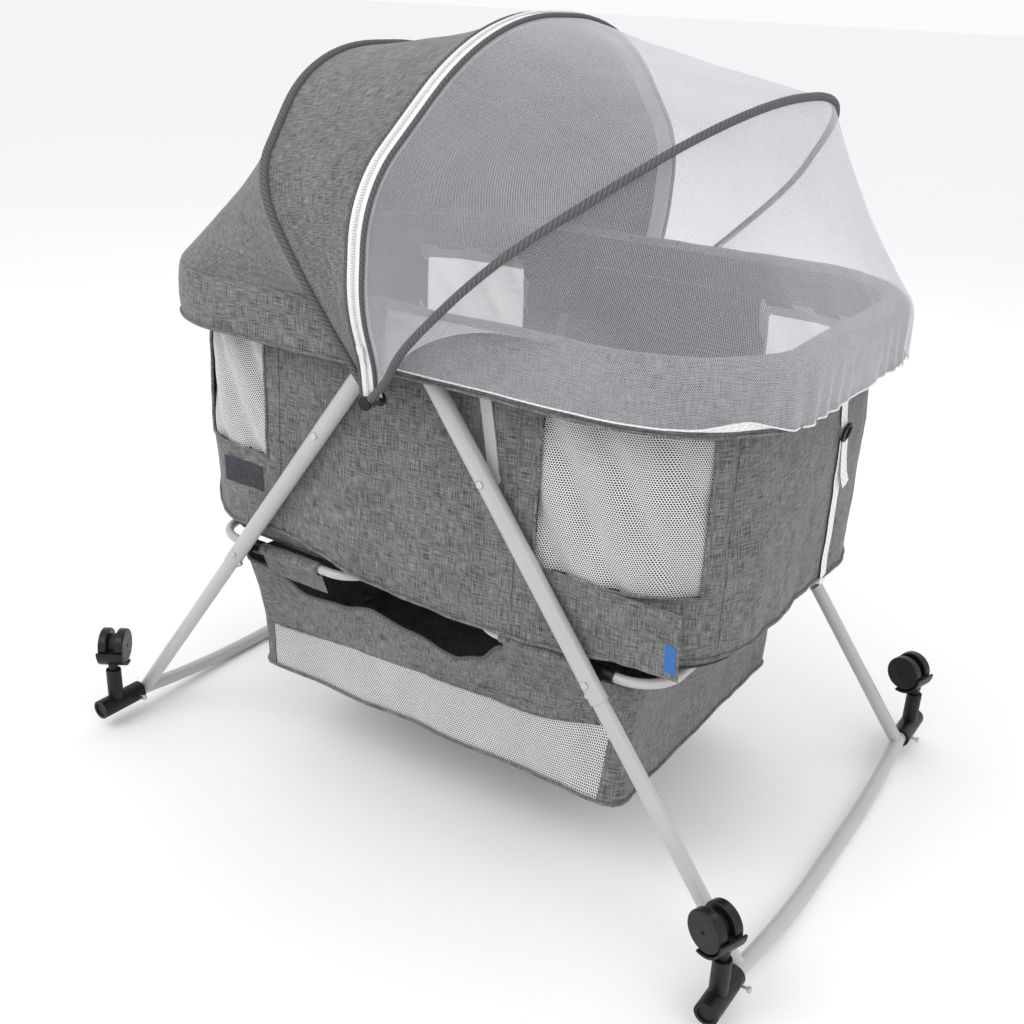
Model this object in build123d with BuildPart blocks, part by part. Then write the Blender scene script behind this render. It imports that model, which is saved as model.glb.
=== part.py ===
from build123d import *
import os
from math import atan, cos, degrees, hypot, radians, sin, tan

os.makedirs("parts", exist_ok=True)

# Frame: +X towards the foot end, +Y towards the far side, +Z up, origin on the floor.

# stand
leg_y = 280.0            # centre plane of each pair of legs
foot_x = 486.0           # leg meets rocker bar, at rest
foot_z = 31.0
leg_pivot_x = 25.0
leg_pivot_z = 650.0
upper_r = 11.0           # upper leg tube
lower_r = 9.5            # lower frame, rocker and rim tube
wall = 1.2
leg_top = -13.0          # along the leg, from its pivot
seam_s = 436.0           # end of the upper leg tube
plug_s = 380.0           # top of the lower leg inside it
button_s = 426.0         # spring button, on the under side
strip_s = 162.0          # rivet that holds the brace strip
rocker_drop = 21.5       # rocker bar is this much lower at its middle
rocker_out = 6.0         # and this much further out
rocker_flat = 100.0
stub_end = 356.0
leg_run = foot_x - leg_pivot_x
leg_rise = leg_pivot_z - foot_z
leg_length = hypot(leg_run, leg_rise)
leg_sin = leg_run / leg_length
leg_cos = leg_rise / leg_length

# hub
rim_pivot_x = 60.0
rim_z = 672.0            # rim tube centre
plate_in = 266.5         # inner face of the inner hub plate, from the middle plane
plate_out = 291.5        # inner face of the outer one
plate_t = 2.0
pin_r = 3.0
pin_gap = 0.05           # running clearance of every pin

# rim
rim_y = 282.0
rim_x = 412.0
rim_corner = 150.0
rim_end = 48.0           # inner ends of the rim tubes
cover_y = 303.5          # padded rim cover, outside
cover_x = 428.0
cover_corner = 168.0
cover_in_y = 259.5
cover_in_x = 398.0
cover_in_corner = 130.0
cover_low = 626.0
cover_top = 700.0
skin = 2.5               # thickness of the padded fabric

# tub
tub_y = 259.0
tub_x = 395.0
tub_corner = 130.0
tub_low = 331.0
tub_top = 655.0
window_low = 425.0
window_top = 612.0

# support rings and boards
ring_r = 6.0
ring_y = 254.0
ring_z = 320.0
ring_in = 85.0
ring_out = 345.0
ring_corner = 50.0
ring_pivot_x = leg_pivot_x + (leg_pivot_z - ring_z) * leg_run / leg_rise

# canopy
bow_x = -15.0            # pivot line of the bows
bow_z = 592.0
bow_r = 2.5
panel_t = 1.5
eye_r = 7.0
eye_t = 4.5
rear_bow = dict(angle=-33.2, y0=307.5, wide=329.0, rise=155.0, high=427.0)
zip_bow = dict(angle=3.2, y0=313.0, wide=347.0, rise=115.0, high=404.0)
net_bow = dict(angle=45.5, y0=318.5, wide=370.0, rise=125.0, high=480.0)

# basket
basket_low = 124.0
basket_top = 306.0

# casters
caster_r = 25.0
sleeve_r = 14.0
sleeve_in = 292.0
sleeve_out = 364.0
stem_y = 335.0
socket_r = 10.75
socket_top = 87.0
axle_z = 118.0
caster_trail = 16.0

button_r = 3.5

sides = {"near": -1, "far": 1}
ends = {"head": -1, "foot": 1}
caster_swivel = {"head_near": 57.0, "head_far": 0.0, "foot_near": 20.0, "foot_far": -15.0}


def save(part, name):
    part.label = name
    export_step(part, f"parts/{name}.step")


def corner_radii(points, share=0.48):
    """Largest even rounding of each corner of an open outline."""
    radii = []
    for before, here, after in zip(points, points[1:], points[2:]):
        run_in = (here[0] - before[0], here[1] - before[1])
        run_out = (after[0] - here[0], after[1] - here[1])
        turn = abs(Vector(*run_in).get_angle(Vector(*run_out)))
        cut = share * min(hypot(*run_in), hypot(*run_out))
        radii.append(cut / tan(radians(turn) / 2))
    return radii


def leg_plane(end, y, s=0.0):
    """Plane across a leg, s along it from the pivot; its Z runs down the leg, its X along Y."""
    origin = (end * (leg_pivot_x + s * leg_sin), y, leg_pivot_z - s * leg_cos)
    return Plane(origin=origin, x_dir=(0, 1, 0), z_dir=(end * leg_sin, 0, -leg_cos))


def under_plane(end, y, out=0.0):
    """Plane facing out of the under side of a leg at its spring button."""
    spot = leg_plane(end, y, button_s).origin
    under = Vector(-end * leg_cos, 0, -leg_sin)
    return Plane(origin=spot + under * out, x_dir=(0, 1, 0), z_dir=under)


def side_plane(x, y, z):
    """Plane facing +Y through a point; its X is +X and its Y is -Z."""
    return Plane(origin=(x, y, z), x_dir=(1, 0, 0), z_dir=(0, 1, 0))


# ---- legs: one straight tube per corner, joined to the hub by a cross pin at its top

def upper_leg(end, side):
    y = side * leg_y
    with BuildPart() as leg:
        with BuildSketch(leg_plane(end, y, leg_top)):
            Circle(upper_r)
            Circle(upper_r - wall, mode=Mode.SUBTRACT)
        extrude(amount=seam_s - leg_top)
        with BuildSketch(side_plane(end * leg_pivot_x, y, leg_pivot_z)):
            Circle(pin_r + pin_gap)
        extrude(amount=2 * upper_r, both=True, mode=Mode.SUBTRACT)
        rivet = leg_plane(end, y, strip_s).origin
        with BuildSketch(side_plane(rivet.X, y, rivet.Z)):
            Circle(2.5)
        extrude(amount=2 * upper_r, both=True, mode=Mode.SUBTRACT)
        with BuildSketch(under_plane(end, y)):
            Circle(button_r + 0.1)
        extrude(amount=2 * upper_r, mode=Mode.SUBTRACT)
        with BuildSketch(side_plane(end * ring_pivot_x, y, ring_z)):
            Circle(2.55)
        extrude(amount=2 * upper_r, both=True, mode=Mode.SUBTRACT)
    return leg.part


for end_name, end in ends.items():
    for side_name, side in sides.items():
        save(upper_leg(end, side), f"{end_name}_leg_{side_name}")


# ---- lower frames: two legs plugged into the upper ones and welded to a curved rocker bar

rocker_tip = 240.0       # width over which the rocker curves down on each side
elbow_r = 60.0


def rocker_frame(end):
    turn = 2 * degrees(atan(rocker_drop / rocker_tip))
    sweep_r = rocker_tip / sin(radians(turn)) - elbow_r
    tilt = Vector(-end * rocker_out, 0, rocker_drop).normalized()
    plane = Plane(origin=(end * foot_x, 0, foot_z), x_dir=(0, 1, 0), z_dir=Vector(0, 1, 0).cross(tilt))
    with BuildPart() as frame:
        with BuildLine(plane) as path:
            left = Line((-stub_end, 0), (-rocker_tip - rocker_flat / 2, 0))
            elbow = JernArc(left @ 1, left % 1, elbow_r, -turn)
            fall = JernArc(elbow @ 1, elbow % 1, sweep_r, turn)
            flat = Line(fall @ 1, (fall @ 1) + Vector(0, rocker_flat, 0))
            climb = JernArc(flat @ 1, flat % 1, sweep_r, turn)
            elbow_2 = JernArc(climb @ 1, climb % 1, elbow_r, -turn)
            Line(elbow_2 @ 1, (elbow_2 @ 1) + Vector(0, stub_end - rocker_tip - rocker_flat / 2, 0))
        with BuildSketch(Plane(origin=path.line @ 0, z_dir=path.line % 0)):
            Circle(lower_r)
            Circle(lower_r - wall, mode=Mode.SUBTRACT)
        sweep(path=path.line)
        for side in sides.values():
            with BuildSketch(leg_plane(end, side * leg_y, plug_s)):
                Circle(lower_r)
                Circle(lower_r - wall, mode=Mode.SUBTRACT)
            extrude(amount=leg_length - 4 - plug_s)
            with BuildSketch(under_plane(end, side * leg_y)):
                Circle(button_r + 0.1)
            extrude(amount=2 * lower_r, mode=Mode.SUBTRACT)
            with BuildSketch(side_plane(end * ring_pivot_x, side * leg_y, ring_z)):
                Circle(2.55)
            extrude(amount=2 * lower_r, both=True, mode=Mode.SUBTRACT)
    return frame.part


for end_name, end in ends.items():
    save(rocker_frame(end), f"{end_name}_rocker_frame")


# ---- brace strips: a sickle-shaped flat strip on the inner side of each leg

strip_w = 15.0
strip_y = 262.8          # inner face, from the middle plane
strip_t = 2.0
strip_tip_x = 98.0       # upper end, under the rim
strip_bow_x = 112.0      # a point on the strip's curve
strip_bow_z = 585.0


def brace_strips(end):
    low = leg_plane(end, 0, strip_s).origin
    tip = Vector(end * strip_tip_x, 0, cover_low + 24)
    with BuildPart() as strips:
        for side in sides.values():
            with BuildSketch(side_plane(0, side * (strip_y + strip_t / 2), 0)):
                with BuildLine():
                    ThreePointArc((low.X, -low.Z), (end * strip_bow_x, -strip_bow_z), (tip.X, -tip.Z))
                trace(line_width=strip_w)
                with Locations((low.X, -low.Z)):
                    Circle(strip_w / 2 + 2)
                    Circle(2.5, mode=Mode.SUBTRACT)
            extrude(amount=strip_t / 2, both=True)
    return strips.part


for end_name, end in ends.items():
    save(brace_strips(end), f"{end_name}_brace_strips")


# ---- cross pins of each leg pair: brace rivets and the pivots of the support ring

def leg_pins(end):
    brace = leg_plane(end, 0, strip_s).origin
    with BuildPart() as pins:
        for side in sides.values():
            head = side * (leg_y + upper_r)
            with BuildSketch(side_plane(brace.X, side * strip_y, brace.Z)):
                Circle(2.4)
            extrude(amount=side * (leg_y + upper_r - strip_y))
            with BuildSketch(side_plane(brace.X, head, brace.Z)):
                Circle(4.5)
            extrude(amount=side * 1.8)
            with BuildSketch(side_plane(end * ring_pivot_x, side * (ring_y + ring_r + 0.5), ring_z)):
                Circle(2.5)
            extrude(amount=side * (leg_y + upper_r - ring_y - ring_r - 0.5))
            with BuildSketch(side_plane(end * ring_pivot_x, head, ring_z)):
                Circle(4.5)
            extrude(amount=side * 1.8)
        fillet(pins.edges().filter_by(GeomType.CIRCLE).group_by(Axis.Y)[0], 1.0)
        fillet(pins.edges().filter_by(GeomType.CIRCLE).group_by(Axis.Y)[-1], 1.0)
    return pins.part


for end_name, end in ends.items():
    save(leg_pins(end), f"{end_name}_leg_rivets")


# ---- support rings under the tub, with a black clamp at each leg

def support_ring(end):
    with BuildPart() as ring:
        with BuildLine(Plane.XY.offset(ring_z)) as path:
            FilletPolyline(
                (end * ring_out, -ring_y),
                (end * ring_out, ring_y),
                (end * ring_in, ring_y),
                (end * ring_in, -ring_y),
                radius=ring_corner,
                close=True,
            )
        outline = path.wires()[0]
        with BuildSketch(Plane(origin=outline @ 0, z_dir=outline % 0)):
            Circle(ring_r)
            Circle(ring_r - 1, mode=Mode.SUBTRACT)
        sweep(path=outline)
    return ring.part


clamp_r = 9.0
clamp_length = 36.0
boss_r = 8.0


def ring_clamps(end):
    with BuildPart() as clamps:
        for side in sides.values():
            start = (end * ring_pivot_x - clamp_length / 2, side * ring_y, ring_z)
            with BuildSketch(Plane(origin=start, z_dir=(1, 0, 0))):
                Circle(clamp_r)
            extrude(amount=clamp_length)
            with BuildSketch(side_plane(end * ring_pivot_x, side * ring_y, ring_z)):
                Circle(boss_r)
            extrude(amount=side * (leg_y - upper_r - 0.4 - ring_y))
            with BuildSketch(Plane(origin=start, z_dir=(1, 0, 0))):
                Circle(ring_r)
            extrude(amount=clamp_length, mode=Mode.SUBTRACT)
            with BuildSketch(side_plane(end * ring_pivot_x, side * (ring_y + ring_r + 0.2), ring_z)):
                Circle(2.55)
            extrude(amount=side * 20, mode=Mode.SUBTRACT)
    return clamps.part


board_t = 3.0
board_low = tub_low + skin + 1.5


def floor_board(end):
    inner, outer, half = ring_in - 10.0, tub_x - 19.0, tub_y - 19.0
    with BuildPart() as board:
        with BuildSketch(Plane.XY.offset(board_low)) as sheet:
            with Locations((end * (inner + outer) / 2, 0)):
                Rectangle(outer - inner, 2 * half)
            far_corners = sheet.vertices().group_by(Axis.X)[-1 if end > 0 else 0]
            fillet(far_corners, tub_corner - 19.0)
        extrude(amount=board_t)
    return board.part


for end_name, end in ends.items():
    save(support_ring(end), f"{end_name}_support_ring")
    save(ring_clamps(end), f"{end_name}_ring_clamps")
    save(floor_board(end), f"{end_name}_floor_board")


# ---- hub: two plates each side of the tubes, held together by four rivets

def hub_outline():
    for end in ends.values():
        with Locations((end * leg_pivot_x, -leg_pivot_z), (end * rim_pivot_x, -rim_z)):
            Circle(12.0)
    make_hull()


def hub_plates(side):
    with BuildPart() as plates:
        for y in (plate_in, plate_out):
            with BuildSketch(side_plane(0, side * (y + plate_t / 2), 0)):
                hub_outline()
                for end in ends.values():
                    with Locations((end * leg_pivot_x, -leg_pivot_z), (end * rim_pivot_x, -rim_z)):
                        Circle(pin_r, mode=Mode.SUBTRACT)
            extrude(amount=plate_t / 2, both=True)
    return plates.part


for side_name, side in sides.items():
    save(hub_plates(side), f"hub_plates_{side_name}")

with BuildPart() as hub_rivets:
    for side in sides.values():
        for end in ends.values():
            for x, z in ((leg_pivot_x, leg_pivot_z), (rim_pivot_x, rim_z)):
                with BuildSketch(side_plane(end * x, side * plate_in, z)):
                    Circle(pin_r)
                extrude(amount=side * (plate_out + plate_t - plate_in))
                for y, t in ((plate_in - 1.2, 1.2), (plate_out + plate_t, 1.4)):
                    with BuildSketch(side_plane(end * x, side * y, z)):
                        Circle(5.0)
                    extrude(amount=side * t)
save(hub_rivets.part, "hub_rivets")


# ---- rim: one U of tube for each half, and its padded cover

def rim_tube(end):
    with BuildPart() as rim:
        with BuildLine(Plane.XY.offset(rim_z)) as path:
            FilletPolyline(
                (end * rim_end, -rim_y),
                (end * rim_x, -rim_y),
                (end * rim_x, rim_y),
                (end * rim_end, rim_y),
                radius=rim_corner,
            )
        outline = path.wires()[0]
        with BuildSketch(Plane(origin=outline @ 0, z_dir=outline % 0)):
            Circle(lower_r)
            Circle(lower_r - wall, mode=Mode.SUBTRACT)
        sweep(path=outline)
        for side in sides.values():
            with BuildSketch(side_plane(end * rim_pivot_x, side * rim_y, rim_z)):
                Circle(pin_r + pin_gap)
            extrude(amount=2 * lower_r, both=True, mode=Mode.SUBTRACT)
    return rim.part


def rim_cover(end):
    with BuildPart() as cover:
        with BuildSketch(Plane.XY.offset(cover_low)):
            RectangleRounded(2 * cover_x, 2 * cover_y, cover_corner)
            RectangleRounded(2 * cover_in_x, 2 * cover_in_y, cover_in_corner, mode=Mode.SUBTRACT)
        extrude(amount=cover_top - cover_low)
        soft = cover.edges().filter_by(Plane.XY).group_by(Axis.Z)[-1]
        fillet(soft, 9.0)
        with BuildSketch(Plane.XY.offset(cover_low)):
            RectangleRounded(2 * (cover_x - skin), 2 * (cover_y - skin), cover_corner - skin)
            RectangleRounded(
                2 * (cover_in_x + skin), 2 * (cover_in_y + skin), cover_in_corner + skin, mode=Mode.SUBTRACT
            )
        extrude(amount=cover_top - cover_low - 7.0, mode=Mode.SUBTRACT)
        split(bisect_by=Plane.YZ.offset(end * 1.0), keep=Keep.TOP if end > 0 else Keep.BOTTOM)
    return cover.part


for end_name, end in ends.items():
    save(rim_tube(end), f"{end_name}_rim_tube")
    save(rim_cover(end), f"{end_name}_rim_cover")


# ---- tub: fabric body with four mesh windows, mattress, strap on the foot end

window_spans = {"head": (-348.0, -218.0), "foot": (218.0, 348.0)}

with BuildPart() as tub_shell:
    with BuildSketch(Plane.XY.offset(tub_low)):
        RectangleRounded(2 * tub_x, 2 * tub_y, tub_corner)
    extrude(amount=tub_top - tub_low)
    with BuildSketch(Plane.XY.offset(tub_low + skin)):
        RectangleRounded(2 * (tub_x - skin), 2 * (tub_y - skin), tub_corner - skin)
    extrude(amount=tub_top - tub_low, mode=Mode.SUBTRACT)
    for low_x, high_x in window_spans.values():
        with BuildSketch(Plane.XZ):
            with Locations(((low_x + high_x) / 2, (window_low + window_top) / 2)):
                Rectangle(high_x - low_x, window_top - window_low)
        extrude(amount=2 * tub_y, both=True, mode=Mode.SUBTRACT)
save(tub_shell.part, "tub_shell")

with BuildPart() as mesh_windows:
    with BuildSketch(Plane.XY.offset(window_low)):
        RectangleRounded(2 * tub_x - 0.8, 2 * tub_y - 0.8, tub_corner - 0.4)
        RectangleRounded(2 * tub_x - 4.2, 2 * tub_y - 4.2, tub_corner - 2.1, mode=Mode.SUBTRACT)
    extrude(amount=window_top - window_low)
    with BuildSketch(Plane.XZ):
        for low_x, high_x in window_spans.values():
            with Locations(((low_x + high_x) / 2, (window_low + window_top) / 2)):
                Rectangle(high_x - low_x - 0.6, window_top - window_low - 0.6)
    extrude(amount=2 * tub_y, both=True, mode=Mode.INTERSECT)
save(mesh_windows.part, "mesh_windows")

mattress_t = 24.0
mattress_low = board_low + board_t + 1.5

with BuildPart() as mattress:
    with BuildSketch(Plane.XY.offset(mattress_low)):
        RectangleRounded(2 * (tub_x - 12), 2 * (tub_y - 12), tub_corner - 12)
    extrude(amount=mattress_t)
    fillet(mattress.edges().filter_by(Plane.XY), 8.0)
save(mattress.part, "mattress")

strap_mid_y = 66.0
strap_width = 16.0
strap_top = 606.0
slider_z = 551.0

strap_plane = Plane(origin=(tub_x + 0.4, strap_mid_y, slider_z), x_dir=(0, 1, 0), z_dir=(1, 0, 0))

with BuildPart() as foot_strap:
    with BuildSketch(Plane.XY.offset(tub_low - 1)):
        with Locations((tub_x + 1.2, strap_mid_y)):
            Rectangle(1.4, strap_width)
    extrude(amount=slider_z - 13 - tub_low)
    with BuildSketch(Plane.XY.offset(slider_z + 12)):
        with Locations((tub_x + 1.2, strap_mid_y)):
            Rectangle(1.4, strap_width)
    extrude(amount=strap_top - slider_z - 12)
    with BuildSketch(strap_plane):
        RectangleRounded(strap_width + 8, 22, 5)
        with Locations((0, 5.5), (0, -5.5)):
            RectangleRounded(strap_width + 0.5, 5, 1.5, mode=Mode.SUBTRACT)
    extrude(amount=4)
save(foot_strap.part, "foot_strap")


# ---- canopy: three bows on one hinge line, fabric and net between them

hinge_arm_x = (-112.0, -90.0)
hinge_arm_y = 296.0
hinge_arm_t = 2.5

with BuildPart() as canopy_hinges:
    for side in sides.values():
        with BuildSketch(side_plane(0, side * hinge_arm_y, 0)):
            with Locations((hinge_arm_x[0], -rim_z), (hinge_arm_x[1], -rim_z), (bow_x, -bow_z)):
                Circle(9.0)
            make_hull()
        extrude(amount=side * hinge_arm_t)
        for x in hinge_arm_x:
            with BuildSketch(side_plane(x, side * (rim_y + lower_r - 1.0), rim_z)):
                Circle(4.0)
            extrude(amount=side * (hinge_arm_y - rim_y - lower_r + 1.0))
        with BuildSketch(side_plane(bow_x, side * hinge_arm_y, bow_z)):
            Circle(pin_r)
        extrude(amount=side * 26.5)
        with BuildSketch(side_plane(bow_x, side * 321.5, bow_z)):
            Circle(8.0)
        extrude(amount=side * 2.5)
    for side in sides.values():
        with BuildSketch(Plane(origin=(-rim_pivot_x - 80, side * rim_y, rim_z), z_dir=(1, 0, 0))):
            Circle(lower_r)
        extrude(amount=80, mode=Mode.SUBTRACT)
save(canopy_hinges.part, "canopy_hinges")


foot_flare = 7.0         # a bow's foot leans out by this much over its first 40 mm


def bow_plane(angle):
    """Plane of a bow: its X runs along +Y, its Y away from the hinge line."""
    swing = radians(angle)
    return Plane(origin=(bow_x, 0, bow_z), x_dir=(0, 1, 0), z_dir=(cos(swing), 0, -sin(swing)))


def arch(start, y0, wide, rise, high, side=0.42, crown=0.42):
    """Corners of an arch: straight side up to a share of its height, flat crown a share of its width."""
    left = [
        (-y0, start),
        (-y0 - foot_flare, start + 40.0),
        (-wide, rise),
        (-wide, rise + side * (high - rise)),
        (-crown * wide, high),
    ]
    return left + [(-x, y) for x, y in reversed(left)]


def bow(angle, y0, wide, rise, high):
    plane = bow_plane(angle)
    points = arch(eye_r - 1.0, y0, wide, rise, high)
    with BuildPart() as hoop:
        with BuildLine(plane) as path:
            FilletPolyline(*points, radius=corner_radii(points))
        outline = path.wires()[0]
        with BuildSketch(Plane(origin=outline @ 0, z_dir=outline % 0)):
            Circle(bow_r)
        sweep(path=outline)
        for side in sides.values():
            with BuildSketch(side_plane(bow_x, side * y0, bow_z)):
                Circle(eye_r)
            extrude(amount=eye_t / 2, both=True)
            with BuildSketch(side_plane(bow_x, side * y0, bow_z)):
                Circle(pin_r + pin_gap)
            extrude(amount=eye_t, both=True, mode=Mode.SUBTRACT)
    return hoop.part


save(bow(**rear_bow), "rear_bow")
save(bow(**zip_bow), "zip_bow")
save(bow(**net_bow), "net_bow")


panel_start = 78.0       # panels begin this far from the hinge line
panel_inset = 3.4        # panels hang just inside the wire of their bow
panel_gap = 0.4          # degrees between a panel's edge and the plane of the bow


def section(spec, offset):
    """Corners of a panel's edge, offset inwards from the bow it hangs on."""
    moved = dict(spec, y0=spec["y0"] - offset, wide=spec["wide"] - offset, high=spec["high"] - offset)
    moved.pop("angle")
    return arch(panel_start - 40.0, **moved)[1:-1]


def panel(first, last, first_edge, last_edge):
    with BuildPart() as cloth:
        for spec, edge in ((first, first_edge), (last, last_edge)):
            inset = 0.0 if spec is head_rim_arc or spec is foot_rim_arc else panel_inset
            outer = section(spec, inset)
            inner = section(spec, inset + panel_t)
            with BuildSketch(bow_plane(spec["angle"] + edge)):
                with BuildLine():
                    over = FilletPolyline(*outer, radius=corner_radii(outer))
                    under = FilletPolyline(*inner, radius=corner_radii(inner))
                    Line(over @ 0, under @ 0)
                    Line(over @ 1, under @ 1)
                make_face()
        loft(ruled=True)
    return cloth.part


head_rim_arc = dict(angle=-75.5, y0=302.0, wide=311.0, rise=170.0, high=434.0, side=0.63, crown=0.69)
foot_rim_arc = dict(angle=75.5, y0=302.0, wide=311.0, rise=170.0, high=466.0, side=0.67, crown=0.69)

save(panel(head_rim_arc, rear_bow, 0.0, -panel_gap), "rear_hood")
save(panel(rear_bow, zip_bow, panel_gap, -panel_gap), "front_hood")
save(panel(zip_bow, net_bow, panel_gap, -panel_gap), "rear_net")
save(panel(net_bow, foot_rim_arc, panel_gap, 0.0), "front_net")

slider_at = 62.0         # zip slider, distance from the hinge line
slider_out = 6.5         # and this far outside the bow

zip_foot = (-zip_bow["y0"] - foot_flare, eye_r + 39.0)
zip_knee = (-zip_bow["wide"], zip_bow["rise"])
zip_plane = bow_plane(zip_bow["angle"])
zip_rise = (Vector(*zip_knee) - Vector(*zip_foot)).normalized()
zip_spot = Vector(*zip_foot) + zip_rise * (slider_at - zip_foot[1])
zip_spot += Vector(-zip_rise.Y, zip_rise.X) * slider_out
zip_ahead = zip_plane.from_local_coords(zip_spot + zip_rise)
zip_up = (zip_ahead - zip_plane.from_local_coords(zip_spot)).normalized()
slider_origin = zip_plane.from_local_coords(zip_spot)

with BuildPart() as zip_slider:
    with BuildSketch(Plane(origin=slider_origin, x_dir=zip_plane.z_dir, z_dir=zip_up)):
        RectangleRounded(9, 2.4, 1)
    extrude(amount=11)
    with BuildSketch(Plane(origin=slider_origin - zip_up * 17, x_dir=zip_plane.z_dir, z_dir=zip_up)):
        RectangleRounded(5, 1.2, 0.5)
    extrude(amount=19)
save(zip_slider.part, "zip_slider")


# ---- basket: fabric box under the rings, open at the near side under the tub's hem

basket_plan_low = (290.0, 226.0)
basket_plan_top = (318.0, 240.0)
mouth = (-141.0, 84.0, 252.0)

with BuildPart() as basket:
    with BuildSketch(Plane.XY.offset(basket_low)):
        RectangleRounded(2 * basket_plan_low[0], 2 * basket_plan_low[1], 22)
    with BuildSketch(Plane.XY.offset(basket_top)):
        RectangleRounded(2 * basket_plan_top[0], 2 * basket_plan_top[1], 22)
    loft()
    with BuildSketch(Plane.XY.offset(basket_low + 2)):
        RectangleRounded(2 * basket_plan_low[0] - 4, 2 * basket_plan_low[1] - 4, 20)
    with BuildSketch(Plane.XY.offset(basket_top + 1)):
        RectangleRounded(2 * basket_plan_top[0] - 4, 2 * basket_plan_top[1] - 4, 20)
    loft(mode=Mode.SUBTRACT)
    with BuildSketch(Plane.XZ.offset(150)):
        with Locations(((mouth[0] + mouth[1]) / 2, mouth[2] + 50)):
            RectangleRounded(mouth[1] - mouth[0], 100, 24)
    extrude(amount=150, mode=Mode.SUBTRACT)
save(basket.part, "basket")


# ---- casters: sleeve that turns on the rocker's end, pull pin, swivelling fork, twin wheels

def caster_sleeve(end, side):
    with BuildPart() as sleeve:
        with BuildSketch(side_plane(end * foot_x, side * sleeve_in, foot_z)):
            Circle(sleeve_r)
        extrude(amount=side * (sleeve_out - sleeve_in))
        with BuildSketch(Plane(origin=(end * foot_x, side * stem_y, foot_z))):
            Circle(socket_r)
        extrude(amount=socket_top - foot_z)
        chamfer(sleeve.edges().filter_by(GeomType.CIRCLE).sort_by(Axis.Z)[-1], 1.0)
        with BuildSketch(side_plane(end * foot_x, side * (sleeve_in - 1), foot_z)):
            Circle(lower_r + pin_gap)
        extrude(amount=side * (stub_end + 2.5 - sleeve_in), mode=Mode.SUBTRACT)
        with BuildSketch(side_plane(end * foot_x, side * (sleeve_out - 2.0), foot_z)):
            Circle(10.0)
        extrude(amount=side * 4, mode=Mode.SUBTRACT)
        with BuildSketch(Plane(origin=(end * foot_x, side * stem_y, socket_top + 1), z_dir=(0, 0, -1))):
            Circle(4.05)
        extrude(amount=36, mode=Mode.SUBTRACT)
        with BuildSketch(Plane(origin=(end * foot_x, side * pull_pin_y, foot_z), z_dir=(1, 0, 0))):
            Circle(2.05)
        extrude(amount=20, mode=Mode.SUBTRACT)
    return sleeve.part


pull_pin_y = 303.0


def pull_pin(end, side):
    origin = (end * foot_x + lower_r + 0.4, side * pull_pin_y, foot_z)
    with BuildPart() as pin:
        with BuildSketch(Plane(origin=origin, z_dir=(1, 0, 0))):
            Circle(2.0)
        extrude(amount=12)
        with BuildSketch(Plane(origin=(origin[0] + 12, origin[1], origin[2]), z_dir=(1, 0, 0))):
            Circle(4.0)
        extrude(amount=3.5)
        fillet(pin.edges().filter_by(GeomType.CIRCLE).sort_by(Axis.X)[-1], 1.2)
    return pin.part


fork_web = 9.0           # web between the wheels
hood_in = 26.5
hood_out = 29.5
hood_wide = 38.0
tread = 12.5


def swivel_frame(name, end, side):
    """Frame at the wheel centre: X away from the stem, Z along the axle."""
    turn = radians(caster_swivel[name])
    back = (-cos(turn), sin(turn) * -side, 0)
    origin = Vector(end * foot_x, side * stem_y, axle_z) + Vector(*back) * caster_trail
    return Plane(origin=origin, x_dir=back, z_dir=Vector(*back).cross(Vector(0, 0, 1)))


def caster_fork(name, end, side):
    frame = swivel_frame(name, end, side)
    with BuildPart() as fork:
        with BuildSketch(frame):
            Circle(17.0)
            with BuildLine():
                Polyline((0, 0), (-caster_trail - 6, 0), (-caster_trail - 6, -25), (-6, -25), (0, 0))
            make_face()
        extrude(amount=fork_web / 2, both=True)
        with BuildSketch(frame):
            Circle(hood_out)
            Circle(hood_in, mode=Mode.SUBTRACT)
            with BuildLine():
                Polyline((0, 0), (-60, 0), (-60, -60), (12, -60), (0, 0))
            make_face(mode=Mode.INTERSECT)
        extrude(amount=hood_wide / 2, both=True)
        with BuildSketch(frame):
            Circle(hood_out - 1)
            Circle(16.0, mode=Mode.SUBTRACT)
            with BuildLine():
                Polyline((0, 0), (-60, 0), (-60, -60), (12, -60), (0, 0))
            make_face(mode=Mode.INTERSECT)
        extrude(amount=fork_web / 2, both=True)
        with BuildSketch(Plane(origin=(end * foot_x, side * stem_y, socket_top + 0.6))):
            Circle(6.5)
        extrude(amount=10)
        with BuildSketch(Plane(origin=(end * foot_x, side * stem_y, 53.0))):
            Circle(4.0)
        extrude(amount=44)
        with BuildSketch(frame):
            Circle(2.55)
        extrude(amount=fork_web, both=True, mode=Mode.SUBTRACT)
    return fork.part


def caster_wheels(name, end, side):
    frame = swivel_frame(name, end, side)
    inner = fork_web / 2 + 1.0
    with BuildPart() as wheels:
        for face in (-1, 1):
            axle = frame.z_dir * face
            disc = Plane(origin=frame.origin + axle * inner, x_dir=frame.x_dir, z_dir=axle)
            with BuildSketch(disc):
                Circle(caster_r)
                Circle(2.5, mode=Mode.SUBTRACT)
            extrude(amount=tread)
        rims = wheels.edges().filter_by(GeomType.CIRCLE).filter_by(lambda edge: edge.radius > 20)
        fillet(rims, 2.5)
        with BuildSketch(frame):
            Circle(2.5)
        extrude(amount=inner + tread - 1, both=True)
    return wheels.part


def spring_button(end, side):
    with BuildPart() as button:
        with BuildSketch(under_plane(end, side * leg_y, 5.4)):
            Circle(button_r)
        extrude(amount=upper_r + 2.6 - 5.4)
        with BuildSketch(under_plane(end, side * leg_y, 4.2)):
            Circle(button_r + 1.1)
        extrude(amount=1.2)
    return button.part


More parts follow.
